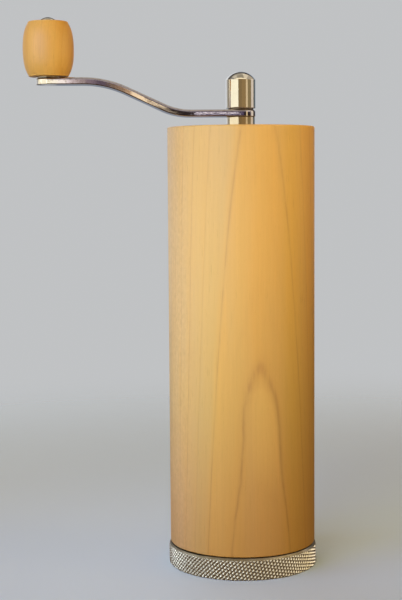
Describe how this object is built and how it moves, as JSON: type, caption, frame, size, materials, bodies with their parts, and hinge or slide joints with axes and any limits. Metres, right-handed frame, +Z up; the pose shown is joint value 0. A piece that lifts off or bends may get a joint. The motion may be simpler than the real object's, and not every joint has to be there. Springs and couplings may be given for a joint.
{
  "type": "nutmeg grinder",
  "caption": "Hand cranked nutmeg grinder: turned wooden barrel, S-bent metal crank with a barrel shaped wooden knob, and a knurled screw-on foot ring that holds the grating disc.",
  "frame": {"origin": "centre of the foot ring's lower face, on the axis of the barrel and the crank shaft, on the plane that the grinder stands on", "axes": "+Z up along the barrel and the crank shaft; the crank arm is stored along -X; +Y is the remaining right-handed axis"},
  "size_m": [0.0988, 0.0512, 0.187],
  "materials": {
    "maple": "turned maple, thin satin oil finish",
    "maple_knob": "turned maple, satin oil finish",
    "nickel": "polished nickel plate on steel",
    "nickel_knurled": "nickel plate on a knurled brass ring",
    "stainless": "bright rolled stainless sheet",
    "spring_steel": "drawn stainless spring wire",
    "ground_steel": "ground steel rod",
    "brass": "turned brass",
    "zinc": "zinc plated steel"
  },
  "bodies": {
    "ring": {"knurled_ring": "nickel_knurled", "retaining_clip": "spring_steel"},
    "grater_unit": {"grater_disc": "stainless"},
    "housing": {"wooden_body": "maple", "top_bush": "brass", "top_bush_screws": "zinc", "spring_seat": "zinc", "threaded_neck": "brass", "compression_spring": "spring_steel"},
    "plunger": {"thrust_washer": "brass"},
    "crank": {"drive_shaft": "ground_steel", "shaft_collar": "nickel", "crank_arm": "nickel", "cap_washer": "nickel", "cap_nut": "nickel", "nut_claw": "stainless", "claw_nut": "zinc", "claw_spacer": "ground_steel", "knob_pin": "nickel", "knob_washer": "nickel"},
    "knob": {"knob": "maple_knob", "knob_sleeve": "brass"}
  },
  "joints": [
    {"name": "ring_unscrew", "type": "hinge", "parent": "ring", "child": "grater_unit", "pos_m": [0, 0, 0], "axis": [0, 0, 1], "range_deg": [0, 1440]},
    {"name": "thread_lead", "type": "slide", "parent": "grater_unit", "child": "housing", "axis": [0, 0, 1], "range_m": [0, 0.006]},
    {"name": "plunger_lift", "type": "slide", "parent": "housing", "child": "plunger", "axis": [0, 0, 1], "range_m": [0, 0.03], "stiffness_N_per_m": 496, "springref_m": -0.02, "deforming": ["compression_spring"]},
    {"name": "crank_turn", "type": "hinge", "parent": "plunger", "child": "crank", "pos_m": [0, 0, 0.02], "axis": [0, 0, 1], "continuous": true},
    {"name": "knob_spin", "type": "hinge", "parent": "crank", "child": "knob", "pos_m": [-0.06462, 0, 0.167], "axis": [0, 0, 1], "continuous": true}
  ],
  "couplings": [
    {"joint": "thread_lead", "follows": "ring_unscrew", "m_per_rad": 0.00023873}
  ]
}
